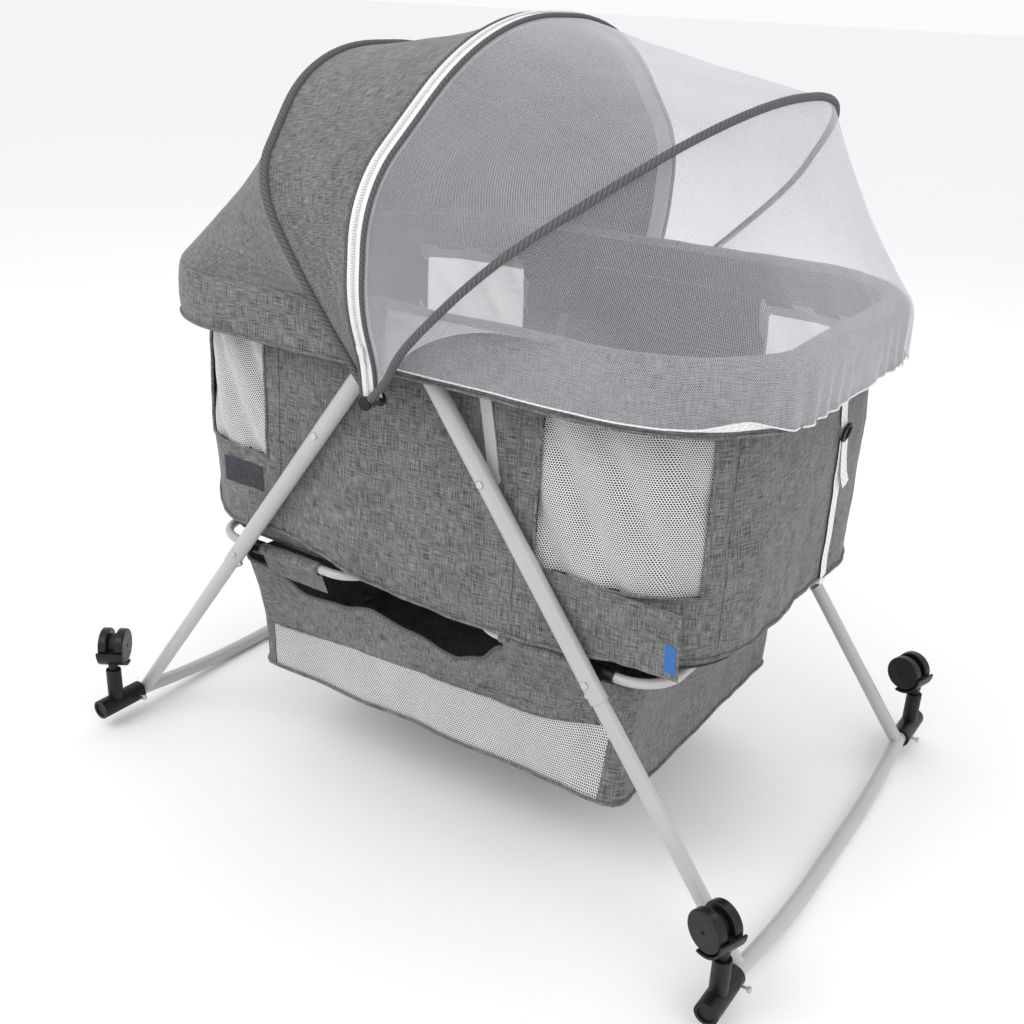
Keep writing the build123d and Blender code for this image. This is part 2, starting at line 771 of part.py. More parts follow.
for end_name, end in ends.items():
    for side_name, side in sides.items():
        corner = f"{end_name}_{side_name}"
        save(caster_sleeve(end, side), f"{corner}_caster_sleeve")
        save(pull_pin(end, side), f"{corner}_caster_pin")
        save(caster_fork(corner, end, side), f"{corner}_caster_fork")
        save(caster_wheels(corner, end, side), f"{corner}_caster_wheels")
        save(spring_button(end, side), f"{corner}_leg_button")
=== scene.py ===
import math
import bmesh
import bpy
from mathutils import Matrix, Vector, noise


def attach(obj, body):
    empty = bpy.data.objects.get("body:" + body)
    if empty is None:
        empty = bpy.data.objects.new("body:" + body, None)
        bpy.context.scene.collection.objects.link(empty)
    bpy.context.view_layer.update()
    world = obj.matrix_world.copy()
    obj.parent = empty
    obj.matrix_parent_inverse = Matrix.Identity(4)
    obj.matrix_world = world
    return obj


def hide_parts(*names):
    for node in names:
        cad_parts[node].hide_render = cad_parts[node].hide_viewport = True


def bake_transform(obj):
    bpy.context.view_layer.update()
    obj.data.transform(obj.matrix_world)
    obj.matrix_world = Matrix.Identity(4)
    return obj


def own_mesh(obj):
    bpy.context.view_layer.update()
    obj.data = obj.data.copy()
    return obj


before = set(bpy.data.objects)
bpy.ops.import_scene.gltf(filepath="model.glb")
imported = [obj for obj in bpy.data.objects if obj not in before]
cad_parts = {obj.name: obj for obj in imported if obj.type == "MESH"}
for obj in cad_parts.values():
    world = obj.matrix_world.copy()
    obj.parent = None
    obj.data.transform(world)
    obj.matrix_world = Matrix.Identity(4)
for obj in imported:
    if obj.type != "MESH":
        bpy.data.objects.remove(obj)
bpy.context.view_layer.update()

print("stage: frame loaded")

# shared dimensions, in metres
tub = {"x": 0.395, "y": 0.259, "corner": 0.130, "top": 0.650, "floor": 0.334}
rim = {"x": 0.413, "y": 0.2815, "corner": 0.149, "half": 0.0205, "low": 0.626, "top": 0.701, "round": 0.024}
pivot = Vector((-0.015, 0.0, 0.592))
bows = {
    "rear": {"angle": -33.2, "foot": 0.3075, "wide": 0.329, "rise": 0.155, "high": 0.427},
    "zip": {"angle": 3.2, "foot": 0.313, "wide": 0.347, "rise": 0.115, "high": 0.404},
    "net": {"angle": 45.5, "foot": 0.3185, "wide": 0.370, "rise": 0.125, "high": 0.480},
}
bowFoot = {"start": 0.006, "knee": 0.046, "flare": 0.007, "corner": 0.42}
windows = [
    {"side": -1, "x": (0.182, 0.362), "z": (0.430, 0.640)},
    {"side": -1, "x": (-0.354, -0.226), "z": (0.462, 0.640)},
    {"side": 1, "x": (0.215, 0.355), "z": (0.430, 0.640)},
    {"side": 1, "x": (-0.350, -0.185), "z": (0.462, 0.640)},
]


# short ways to write shader nodes
def node(tree, kind, **settings):
    item = tree.nodes.new(kind)
    for key, value in settings.items():
        setattr(item, key, value)
    return item


def feed(tree, socket, value):
    if isinstance(value, bpy.types.NodeSocket):
        tree.links.new(value, socket)
    else:
        socket.default_value = value


def calc(tree, operation, *values):
    item = node(tree, "ShaderNodeMath", operation=operation)
    for index, value in enumerate(values):
        feed(tree, item.inputs[index], value)
    return item.outputs[0]


def spread(tree, value, low, high, newLow=0.0, newHigh=1.0):
    item = node(tree, "ShaderNodeMapRange")
    sockets = ("Value", "From Min", "From Max", "To Min", "To Max")
    for socket, amount in zip(sockets, (value, low, high, newLow, newHigh)):
        feed(tree, item.inputs[socket], amount)
    return item.outputs[0]


def grain(tree, vector, stretch, detail=2.0, rough=0.5):
    mapping = node(tree, "ShaderNodeMapping")
    mapping.inputs["Scale"].default_value = stretch
    tree.links.new(vector, mapping.inputs["Vector"])
    texture = node(tree, "ShaderNodeTexNoise")
    texture.inputs["Scale"].default_value = 1.0
    texture.inputs["Detail"].default_value = detail
    texture.inputs["Roughness"].default_value = rough
    tree.links.new(mapping.outputs[0], texture.inputs["Vector"])
    return texture.outputs[0]


def blendColour(tree, amount, first, second):
    item = node(tree, "ShaderNodeMix", data_type="RGBA")
    feed(tree, item.inputs["Factor"], amount)
    feed(tree, item.inputs[6], first)
    feed(tree, item.inputs[7], second)
    return item.outputs[2]


def pattern(name, outputs):
    tree = bpy.data.node_groups.new(name, "ShaderNodeTree")
    for socket, kind in outputs.items():
        tree.interface.new_socket(name=socket, in_out="OUTPUT", socket_type="NodeSocket" + kind)
    return tree, node(tree, "NodeGroupOutput")


def material(name, group, settings, bump=0.3, bumpSize=0.0008):
    made = bpy.data.materials.new(name)
    made.use_nodes = True
    tree = made.node_tree
    surface = tree.nodes["Principled BSDF"]
    look = node(tree, "ShaderNodeGroup")
    look.node_tree = group
    for key, value in settings.items():
        surface.inputs[key].default_value = value
    for socket, target in (("Colour", "Base Color"), ("Roughness", "Roughness")):
        if socket in look.outputs:
            tree.links.new(look.outputs[socket], surface.inputs[target])
    relief = node(tree, "ShaderNodeBump")
    relief.inputs["Strength"].default_value = bump
    relief.inputs["Distance"].default_value = bumpSize
    tree.links.new(look.outputs["Height"], relief.inputs["Height"])
    tree.links.new(relief.outputs[0], surface.inputs["Normal"])
    if "Thread" in look.outputs:
        facing = node(tree, "ShaderNodeLayerWeight")
        facing.inputs["Blend"].default_value = 0.25
        clear = node(tree, "ShaderNodeBsdfTransparent")
        mix = node(tree, "ShaderNodeMixShader")
        edgeOn = calc(tree, "MULTIPLY", facing.outputs["Facing"], 0.75)  # a net seen edge-on looks denser
        amount = calc(tree, "MAXIMUM", look.outputs["Thread"], edgeOn)
        tree.links.new(amount, mix.inputs[0])
        tree.links.new(clear.outputs[0], mix.inputs[1])
        tree.links.new(surface.outputs[0], mix.inputs[2])
        tree.links.new(mix.outputs[0], tree.nodes["Material Output"].inputs[0])
    return made


# linen-look melange: long slubs both ways, light on dark
def melangePattern(name, dark, light):
    tree, out = pattern(name, {"Colour": "Color", "Height": "Float"})
    uv = node(tree, "ShaderNodeTexCoord").outputs["UV"]
    warp = grain(tree, uv, (760.0, 46.0, 1.0), 3.0, 0.6)
    weft = grain(tree, uv, (52.0, 700.0, 1.0), 3.0, 0.6)
    fine = grain(tree, uv, (1500.0, 1500.0, 1.0), 1.0)
    patch = grain(tree, uv, (9.0, 14.0, 1.0), 2.0)
    both = calc(tree, "ADD", calc(tree, "MULTIPLY", warp, 0.5), calc(tree, "MULTIPLY", weft, 0.5))
    tone = both
    for extra, amount in ((fine, 0.16), (patch, 0.10)):
        tone = calc(tree, "ADD", tone, calc(tree, "MULTIPLY", calc(tree, "SUBTRACT", extra, 0.5), amount))
    shade = spread(tree, tone, 0.36, 0.66)
    tree.links.new(blendColour(tree, shade, dark, light), out.inputs["Colour"])
    tree.links.new(both, out.inputs["Height"])
    return tree


# holes on a triangular grid; the thread between them is the mask
def holePattern(name, pitch, hole, dark, light):
    tree, out = pattern(name, {"Colour": "Color", "Thread": "Float", "Height": "Float"})
    uv = node(tree, "ShaderNodeTexCoord").outputs["UV"]
    parts = node(tree, "ShaderNodeSeparateXYZ")
    tree.links.new(uv, parts.inputs[0])
    reach = []
    for shift in (0.0, 0.5):
        squares = []
        for axis, stretch in ((0, 1.0), (1, math.sqrt(3))):
            place = calc(tree, "ADD", calc(tree, "DIVIDE", parts.outputs[axis], pitch * stretch), shift + 50)
            place = calc(tree, "MULTIPLY", calc(tree, "SUBTRACT", calc(tree, "FRACT", place), 0.5), stretch)
            squares.append(calc(tree, "MULTIPLY", place, place))
        reach.append(calc(tree, "SQRT", calc(tree, "ADD", *squares)))
    gap = calc(tree, "MINIMUM", *reach)
    thread = spread(tree, gap, hole - 0.06, hole + 0.06)
    cloud = grain(tree, uv, (16.0, 9.0, 1.0), 2.0)
    tree.links.new(blendColour(tree, cloud, dark, light), out.inputs["Colour"])
    tree.links.new(thread, out.inputs["Thread"])
    tree.links.new(gap, out.inputs["Height"])
    return tree


def twillPattern(name, dark, light, pitch):
    tree, out = pattern(name, {"Colour": "Color", "Height": "Float"})
    uv = node(tree, "ShaderNodeTexCoord").outputs["UV"]
    wave = node(tree, "ShaderNodeTexWave", wave_type="BANDS", bands_direction="DIAGONAL")
    wave.inputs["Scale"].default_value = 1.0 / pitch / (2 * math.pi)
    wave.inputs["Distortion"].default_value = 0.6
    tree.links.new(uv, wave.inputs["Vector"])
    speck = grain(tree, uv, (900.0, 240.0, 1.0), 2.0)
    shade = calc(tree, "MULTIPLY", calc(tree, "ADD", wave.outputs["Fac"], speck), 0.5)
    tree.links.new(blendColour(tree, shade, dark, light), out.inputs["Colour"])
    tree.links.new(wave.outputs["Fac"], out.inputs["Height"])
    return tree


# hard surfaces take their pattern from object space
def hardPattern(name, dark, light, scale, roughLow, roughHigh):
    tree, out = pattern(name, {"Colour": "Color", "Roughness": "Float", "Height": "Float"})
    place = node(tree, "ShaderNodeTexCoord").outputs["Object"]
    orange = grain(tree, place, (scale,) * 3, 2.0)
    cloud = grain(tree, place, (14.0, 14.0, 14.0), 3.0)
    scuff = grain(tree, place, (60.0, 60.0, 300.0), 4.0, 0.7)
    tree.links.new(blendColour(tree, cloud, dark, light), out.inputs["Colour"])
    rough = spread(tree, scuff, 0.3, 0.7, roughLow, roughHigh)
    tree.links.new(rough, out.inputs["Roughness"])
    tree.links.new(orange, out.inputs["Height"])
    return tree


def grey(value, warm=0.0, blue=0.0):
    return (value * (1 + warm), value, value * (1 + blue - warm), 1.0)


clothWeave = {
    "melange": melangePattern("melange", grey(0.018, 0.01), grey(0.275, 0.01)),
    "lining": melangePattern("liningWeave", grey(0.030, 0, 0.20), grey(0.085, 0, 0.18)),
    "binding": twillPattern("bindingTwill", grey(0.050, 0, 0.04), grey(0.150, 0, 0.04), 0.0016),
    "webbing": twillPattern("webbingTwill", grey(0.62, 0.01), grey(0.86, 0.01), 0.0022),
    "zipTape": twillPattern("tapeWeave", grey(0.66, 0.01), grey(0.84, 0.01), 0.0012),
    "blueTab": twillPattern("tabWeave", (0.02, 0.10, 0.32, 1), (0.03, 0.16, 0.45, 1), 0.0014),
    "windowMesh": holePattern("meshHoles", 0.0031, 0.37, grey(0.66), grey(0.84)),
    "net": holePattern("netHoles", 0.0020, 0.445, grey(0.56, 0, 0.06), grey(0.70, 0, 0.06)),
}
hardGrain = {
    "paint": hardPattern("paint", grey(0.40, 0.03), grey(0.46, 0.03), 900.0, 0.26, 0.42),
    "steel": hardPattern("steelGrain", grey(0.46), grey(0.62), 1400.0, 0.18, 0.38),
    "plastic": hardPattern("plasticGrain", grey(0.004), grey(0.009, 0, 0.1), 2200.0, 0.30, 0.55),
    "wheel": hardPattern("wheelGrain", grey(0.004), grey(0.010, 0, 0.1), 1500.0, 0.22, 0.45),
    "wire": hardPattern("wireGrain", grey(0.05), grey(0.08), 1200.0, 0.3, 0.5),
    "board": hardPattern("boardGrain", (0.20, 0.14, 0.09, 1), (0.28, 0.20, 0.13, 1), 700.0, 0.7, 0.9),
}

melange = material("greyMelange", clothWeave["melange"],
                   {"Roughness": 0.92, "Sheen Weight": 0.15, "Specular IOR Level": 0.2}, 0.5, 0.0006)
lining = material("innerLining", clothWeave["lining"],
                  {"Roughness": 0.95, "Specular IOR Level": 0.15}, 0.4, 0.0005)
binding = material("darkBinding", clothWeave["binding"],
                   {"Roughness": 0.85, "Specular IOR Level": 0.25}, 0.5, 0.0005)
webbing = material("whiteWebbing", clothWeave["webbing"], {"Roughness": 0.75}, 0.6, 0.0006)
zipTape = material("zipTape", clothWeave["zipTape"], {"Roughness": 0.7}, 0.4, 0.0004)
blueTab = material("blueTab", clothWeave["blueTab"], {"Roughness": 0.6}, 0.4, 0.0003)
windowMesh = material("whiteMesh", clothWeave["windowMesh"], {"Roughness": 0.8}, 0.3, 0.0004)
netCloth = material("insectNet", clothWeave["net"], {"Roughness": 0.7, "Sheen Weight": 0.1}, 0.2, 0.0003)
blackPlastic = material("blackPlastic", hardGrain["plastic"], {"Specular IOR Level": 0.3}, 0.35, 0.0003)

# these are found by name for the CAD nodes
material("framePaint", hardGrain["paint"], {"Coat Weight": 0.3, "Coat Roughness": 0.2}, 0.12, 0.0003)
material("steel", hardGrain["steel"], {"Metallic": 1.0}, 0.15, 0.0002)
material("wheelPlastic", hardGrain["wheel"], {"Specular IOR Level": 0.32}, 0.2, 0.0003)
material("bowWire", hardGrain["wire"], {}, 0.1, 0.0002)
material("hardboard", hardGrain["board"], {}, 0.3, 0.0004)
print("stage: materials")


# meshes from points
def link(name, mesh, look):
    made = bpy.data.objects.new(name, mesh)
    bpy.context.scene.collection.objects.link(made)
    mesh.materials.append(look)
    for face in mesh.polygons:
        face.use_smooth = True
    return made


def lengths(points):
    total = [0.0]
    for first, second in zip(points, points[1:]):
        total.append(total[-1] + (second - first).length)
    return total


# rows of points become one sheet, with its UV map in metres
def cloth(name, rows, look, skip=None, weld=False):
    across = lengths(rows[len(rows) // 2])
    along = lengths([row[len(row) // 2] for row in rows])
    wide = len(rows[0])
    faces = []
    for r in range(len(rows) - 1):
        for c in range(wide - 1):
            centre = (rows[r][c] + rows[r + 1][c + 1]) / 2
            if skip is None or not skip(centre, c):
                faces.append((r * wide + c, r * wide + c + 1, (r + 1) * wide + c + 1, (r + 1) * wide + c))
    mesh = bpy.data.meshes.new(name)
    mesh.from_pydata([point for row in rows for point in row], [], faces)
    uv = mesh.uv_layers.new(name="metres")
    for loop in mesh.loops:
        r, c = divmod(loop.vertex_index, wide)
        uv.data[loop.index].uv = (across[c], along[r])
    work = bmesh.new()
    work.from_mesh(mesh)
    loose = [v for v in work.verts if not v.link_faces]
    bmesh.ops.delete(work, geom=loose, context="VERTS")
    if weld:
        bmesh.ops.remove_doubles(work, verts=work.verts, dist=1e-5)
    work.to_mesh(mesh)
    work.free()
    return link(name, mesh, look)


def resample(points, count):
    total = lengths(points)
    made = []
    at = 0
    for index in range(count):
        goal = total[-1] * index / (count - 1)
        while at < len(points) - 2 and total[at + 1] < goal:
            at += 1
        span = total[at + 1] - total[at]
        made.append(points[at].lerp(points[at + 1], (goal - total[at]) / span if span else 0.0))
    return made


# a round section swept along a line of points
def tube(name, points, radius, look, sides=8, closed=False):
    rows = []
    count = len(points)
    side = None
    for index, point in enumerate(points):
        before = points[index - 1] if index or closed else point
        after = points[(index + 1) % count] if index < count - 1 or closed else point
        ahead = (after - before).normalized()
        if side is None:
            side = ahead.orthogonal().normalized()
        side = (side - ahead * side.dot(ahead)).normalized()
        up = ahead.cross(side)
        ring = []
        for turn in range(sides + 1):
            angle = 2 * math.pi * turn / sides
            ring.append(point + side * math.cos(angle) * radius + up * math.sin(angle) * radius)
        rows.append(ring)
    if closed:
        rows.append(list(rows[0]))
    return cloth(name, rows, look, weld=True)


# a flat strap, crowned a little in its middle
def ribbon(name, points, out, width, look, crown=0.0006):
    rows = []
    for step in (-0.5, -0.25, 0.0, 0.25, 0.5):
        row = []
        for index, point in enumerate(points):
            ahead = (points[min(index + 1, len(points) - 1)] - points[max(index - 1, 0)]).normalized()
            across = ahead.cross(out).normalized()
            row.append(point + across * width * step + out * crown * (1 - abs(2 * step)))
        rows.append(row)
    return cloth(name, rows, look)


def smoothStep(value):
    value = min(max(value, 0.0), 1.0)
    return value * value * (3 - 2 * value)


# a smooth height through (x, height) knots
def through(knots, x):
    if x <= knots[0][0]:
        return knots[0][1]
    for (x0, y0), (x1, y1) in zip(knots, knots[1:]):
        if x <= x1:
            return y0 + (y1 - y0) * smoothStep((x - x0) / (x1 - x0))
    return knots[-1][1]


# soft folds in cloth; they run along the axis that has the smallest scale
def crease(point, scale, seed):
    place = Vector((point.x * scale[0] + seed, point.y * scale[1], point.z * scale[2]))
    return noise.fractal(place, 0.9, 2.2, 3)


# the point and the outward way at a distance round a rounded rectangle, from its near middle
def planAt(distance, halfX, halfY, corner):
    bend = corner * math.pi / 2
    runs = [(0, halfX - corner)]
    for straight in (halfY, halfX, halfY):
        runs += [(1, bend), (0, 2 * (straight - corner))]
    runs += [(1, bend), (0, halfX - corner)]
    place = Vector((0.0, -halfY, 0.0))
    heading = 0.0
    for curved, length in runs:
        part = min(distance, length)
        if curved:
            centre = place + Vector((-math.sin(heading), math.cos(heading), 0)) * corner
            heading += part / corner
            place = centre + Vector((math.sin(heading), -math.cos(heading), 0)) * corner
        else:
            place = place + Vector((math.cos(heading), math.sin(heading), 0)) * part
        distance -= part
        if distance <= 0:
            break
    return place, Vector((math.sin(heading), -math.cos(heading), 0))


def planLength(halfX, halfY, corner):
    return 4 * (halfX - corner) + 4 * (halfY - corner) + 2 * math.pi * corner


def lap(plan, step):
    total = planLength(*plan)
    count = int(total / step)
    return [planAt(total * index / count, *plan) for index in range(count + 1)]


# half of the plan, from the near middle round one end to the far middle
def halfLap(plan, end, count):
    total = planLength(*plan) / 2
    made = []
    for index in range(count):
        place, out = planAt(total * index / (count - 1), *plan)
        made.append((Vector((place.x * end, place.y, 0)), Vector((out.x * end, out.y, 0))))
    return made


# an open outline with each corner rounded as far as its shorter run allows
def roundedOutline(corners, share=0.48):
    made = [corners[0]]
    for before, here, after in zip(corners, corners[1:], corners[2:]):
        runIn = (before - here).normalized()
        runOut = (after - here).normalized()
        turn = math.pi - runIn.angle(runOut)
        cut = share * min((before - here).length, (after - here).length)
        radius = cut / math.tan(turn / 2)
        centre = here + (runIn + runOut).normalized() * math.hypot(cut, radius)
        start = (here + runIn * cut - centre).normalized()
        stop = (here + runOut * cut - centre).normalized()
        for step in range(13):
            made.append(centre + start.slerp(stop, step / 12) * radius)
    made.append(corners[-1])
    return made


# a bow's middle line, or one that lies a little outside it or ahead of it
def bowLine(name, count, out=0.0, ahead=0.0):
    spec = bows[name]
    foot = spec["foot"] + out
    wide = spec["wide"] + out
    high = spec["high"] + out
    left = [
        (-foot, bowFoot["start"]),
        (-foot - bowFoot["flare"], bowFoot["knee"]),
        (-wide, spec["rise"]),
        (-wide, spec["rise"] + bowFoot["corner"] * (high - spec["rise"])),
        (-bowFoot["corner"] * wide, high),
    ]
    corners = [Vector((x, y)) for x, y in left + [(-x, y) for x, y in reversed(left)]]
    swing = math.radians(spec["angle"])
    up = Vector((math.sin(swing), 0, math.cos(swing)))
    forward = Vector((math.cos(swing), 0, -math.sin(swing)))
    flat = [Vector((p.x, p.y, 0)) for p in roundedOutline(corners)]
    return [pivot + Vector((0, p.x, 0)) + up * p.y + forward * ahead for p in resample(flat, count)]


# the way out of the canopy at a point
def canopyOut(point):
    away = point - Vector((-0.02, 0, 0.66))
    return away if away.length > 0.05 else Vector((0, point.y, 0.2))


# the tub: outer wall, lining, base, windows, seams
tubLook = {
    "hem": [(-0.40, 0.400), (-0.31, 0.352), (-0.21, 0.362), (-0.05, 0.330), (0.10, 0.328), (0.40, 0.354)],
    "rows": 96, "step": 0.0045, "bulge": 0.004, "flare": 0.004, "gather": 0.0042, "sag": 0.0018,
    "strutX": -0.10, "strutWide": 0.055, "strutOut": 0.0045, "ruffles": 210, "ruffle": 0.0012,
    "liningGap": 0.005, "meshGap": 0.0022, "hemThick": 0.0024, "edgeThick": 0.0019,
    "pull": 0.0062, "baseIn": 0.012, "baseLap": 0.03, "baseGap": 0.010, "baseStep": 0.0075,
}


def hemHeight(point):
    far = smoothStep((point.y + 0.2) / 0.4)
    return through(tubLook["hem"], point.x) * (1 - far) + through(tubLook["hem"], point.x * 0.9) * far


# share runs from 0 at the rim to 1 at the hem
def tubPoint(place, out, share, inset=0.0):
    z = tub["top"] + (hemHeight(place) - tub["top"]) * share
    point = Vector((place.x, place.y, z))
    bulge = tubLook["bulge"] * math.sin(math.pi * share) + tubLook["flare"] * share
    fold = crease(point, (16.0, 16.0, 5.0), 3.1) * tubLook["gather"] * (0.35 + share)
    sag = crease(point, (5.0, 5.0, 14.0), 9.4) * tubLook["sag"]
    overStrut = tubLook["strutOut"] * math.exp(-((place.x - tubLook["strutX"]) / tubLook["strutWide"]) ** 2)
    overStrut *= (1 if abs(place.y) > 0.2 else 0) * smoothStep((0.55 - share) / 0.2)
    ruffle = math.sin((place.x + place.y) * tubLook["ruffles"]) * tubLook["ruffle"]
    ruffle *= smoothStep((0.16 - share) / 0.16)
    return point + out * (bulge + fold + sag + ruffle + overStrut - inset)


def shareAt(place, z):
    return (tub["top"] - z) / (tub["top"] - hemHeight(place))


tubPlan = (tub["x"], tub["y"], tub["corner"])
tubAround = lap(tubPlan, tubLook["step"])


# the column of the tub's rows that stands nearest to x on one side
def columnAt(x, side):
    def miss(column):
        place = tubAround[column][0]
        return abs(place.x - x) + (1 if place.y * side < 0 else 0)
    return min(range(len(tubAround)), key=miss)


for spec in windows:
    spec["columns"] = sorted(columnAt(x, spec["side"]) for x in spec["x"])


def inWindow(spec, centre, column, columnsMore=0, more=0.0):
    first, last = spec["columns"]
    inside = first - columnsMore <= column < last + columnsMore
    return inside and spec["z"][0] - more < centre.z < spec["z"][1] + more


def inAnyWindow(centre, column):
    return any(inWindow(spec, centre, column) for spec in windows)


def tubRows(inset):
    shares = [row / tubLook["rows"] for row in range(tubLook["rows"] + 1)]
    return [[tubPoint(place, out, share, inset) for place, out in tubAround] for share in shares]


outerWall = cloth("tubWall", tubRows(0.0), melange, skip=inAnyWindow, weld=True)
innerWall = cloth("tubLining", tubRows(tubLook["liningGap"]), lining, skip=inAnyWindow, weld=True)


# below the hem the tub's own base closes the gap down to its floor
def baseRows(steps=8):
    around = lap(tubPlan, tubLook["baseStep"])
    rows = []
    for r in range(steps + 1):
        row = []
        for place, out in around:
            top = hemHeight(place) + tubLook["baseLap"]
            point = tubPoint(place, out, 1.0, tubLook["baseGap"])
            point.z = top + (tub["floor"] - 0.0015 - top) * r / steps
            row.append(point - out * tubLook["baseIn"] * (r / steps) ** 3)
        rows.append(row)
    return rows


tubBase = cloth("tubBase", baseRows(), melange, weld=True)


# a level sheet that fills a plan, in rings from its edge to its middle
def levelSheet(name, ring, steps, z, wave, seed, waves, look):
    rows = []
    for step in range(steps + 1):
        share = 1 - step / steps
        row = []
        for place, _ in ring:
            height = z + wave * crease(place * share, (waves, waves, 1), seed)
            row.append(Vector((place.x * share, place.y * share, height)))
        rows.append(row)
    return cloth(name, rows, look, weld=True)


floorPlan = tuple(size - tubLook["baseIn"] for size in tubPlan)
tubFloor = levelSheet("tubFloor", lap(floorPlan, 0.02), 24, 0.3325, 0.0015, 2, 9, melange)


# the mesh behind a window, pulled into slanting folds
def meshWindow(name, spec):
    def outside(centre, column):
        return not inWindow(spec, centre, column, 2, 0.008)

    def pulled(point):
        slope = (point.x - spec["x"][0]) * 46 + (point.z - spec["z"][0]) * 26
        return Vector((0, spec["side"], 0)) * (-tubLook["pull"] * abs(math.sin(slope)) ** 4 - 0.0004)

    rows = [[point + pulled(point) for point in row] for row in tubRows(tubLook["meshGap"])]
    return cloth(name, rows, windowMesh, skip=outside, weld=True)


netWindows = [meshWindow(f"meshWindow{index + 1}", spec) for index, spec in enumerate(windows)]
hemLine = [tubPoint(place, out, 1.0, -0.001) for place, out in lap(tubPlan, 0.008)][:-1]
hemPiping = tube("tubHem", hemLine, tubLook["hemThick"], melange, closed=True)


# down one side of a window, along its lower edge and up the other side
def windowEdge(spec, steps=30):
    first, last = spec["columns"]
    low, high = spec["z"]
    heights = [low + (high - low) * i / steps for i in range(steps + 1)]
    stops = [(first, z) for z in reversed(heights)]
    stops += [(column, low) for column in range(first + 1, last)]
    stops += [(last, z) for z in heights]
    made = []
    for column, z in stops:
        place, out = tubAround[column]
        made.append(tubPoint(place, out, shareAt(place, z), -0.0006))
    return made


windowPiping = [tube(f"windowEdge{index + 1}", windowEdge(spec), tubLook["edgeThick"], melange)
                for index, spec in enumerate(windows)]

# flat pieces sewn on the near wall: a doubled band, a plain tab and a plain label
patches = {
    "lowBand": {"x": 0.168, "z": 0.345, "wide": 0.200, "high": 0.083, "look": melange, "lift": 0.0014},
    "sideTab": {"x": 0.350, "z": 0.352, "wide": 0.014, "high": 0.036, "look": blueTab, "lift": 0.0016},
    "sideLabel": {"x": -0.305, "z": 0.410, "wide": 0.070, "high": 0.035, "look": lining, "lift": 0.0010},
}


def patch(name, x, z, wide, high, look, lift, across=12, up=8):
    rows = []
    for r in range(up + 1):
        row = []
        for c in range(across + 1):
            place = Vector((x + wide * c / across, -tub["y"], 0))
            share = shareAt(place, z + high * r / up)
            row.append(tubPoint(place, Vector((0, -1, 0)), share, -lift))
        rows.append(row)
    return cloth(name, rows, look)


lowBand = patch("lowBand", **patches["lowBand"])
bandTop = [vertex.co.copy() for vertex in lowBand.data.vertices[-13:]]  # its upper row of points
lowBandEdge = tube("lowBandEdge", bandTop, 0.0011, melange)

seamLook = {"from": 0.05, "to": 0.98, "thick": 0.0010, "steps": 40,
            "places": [(-0.205, -1), (0.155, -1), (0.377, -1), (-0.160, 1),
                       (0.190, 1), (0.375, 1), (-0.375, 1), (-0.377, -1)]}


def seam(name, x, side):
    place, out = tubAround[columnAt(x, side)]
    run = (seamLook["to"] - seamLook["from"]) / seamLook["steps"]
    line = [tubPoint(place, out, seamLook["from"] + run * i, -0.0003) for i in range(seamLook["steps"] + 1)]
    return tube(name, line, seamLook["thick"], melange, 6)


panelSeams = [seam(f"panelSeam{index + 1}", x, side) for index, (x, side) in enumerate(seamLook["places"])]
sideTab = patch("sideTab", **patches["sideTab"])
sideLabel = patch("sideLabel", **patches["sideLabel"])
print("stage: tub")

# padded covers over the rim tubes
coverLook = {"around": 150, "section": 34, "lined": 13, "puff": 0.0022, "pinch": 0.0014, "pinches": 32,
             "hemThick": 0.0020}
rimPlan = (rim["x"], rim["y"], rim["corner"])


# share runs up the inside of the rim, over its round top and down the outside
def coverPoint(place, out, share, inset=0.0):
    straight = rim["top"] - rim["round"] - rim["low"]
    arc = math.pi * rim["round"]
    total = 2 * straight + arc
    run = share * total
    if run < straight:
        offset, z = -rim["half"], rim["low"] + run
    elif run > straight + arc:
        offset, z = rim["half"], rim["low"] + total - run
    else:
        angle = math.pi - (run - straight) / rim["round"]
        offset = rim["half"] * math.cos(angle)
        z = rim["top"] - rim["round"] + rim["round"] * math.sin(angle)
    point = Vector((place.x, place.y, z)) + out * offset
    away = (out * offset / rim["half"] + Vector((0, 0, max(0.0, z - 0.675) * 30))).normalized()
    puff = crease(point, (11.0, 11.0, 26.0), 5.7) * coverLook["puff"]
    pinch = math.sin(coverLook["pinches"] * (place.x + 2 * place.y)) * smoothStep((0.650 - z) / 0.03)
    return point + away * (puff + coverLook["pinch"] * pinch - inset)


# the cover's inner side is lined with the dark cloth
def rimCover(end, name):
    around = halfLap(rimPlan, end, coverLook["around"])
    rows = [[coverPoint(place, out, r / coverLook["section"]) for place, out in around]
            for r in range(coverLook["section"] + 1)]
    made = cloth(name, rows, melange)
    made.data.materials.append(lining)
    for face in made.data.polygons:
        face.material_index = 1 if face.index // (coverLook["around"] - 1) < coverLook["lined"] else 0
    return made


def coverHem(end, name):
    line = [coverPoint(place, out, 1.0, -0.0008) for place, out in halfLap(rimPlan, end, 180)]
    return tube(name, line, coverLook["hemThick"], melange)


ends = {"head": -1, "foot": 1}
covers = {name: rimCover(end, f"{name}RimCover") for name, end in ends.items()}
coverHems = {name: coverHem(end, f"{name}CoverHem") for name, end in ends.items()}

padLook = {"z": 0.3515, "half": 0.0125, "inset": 0.012, "edge": 0.22, "crown": 0.8, "dents": 0.0016}


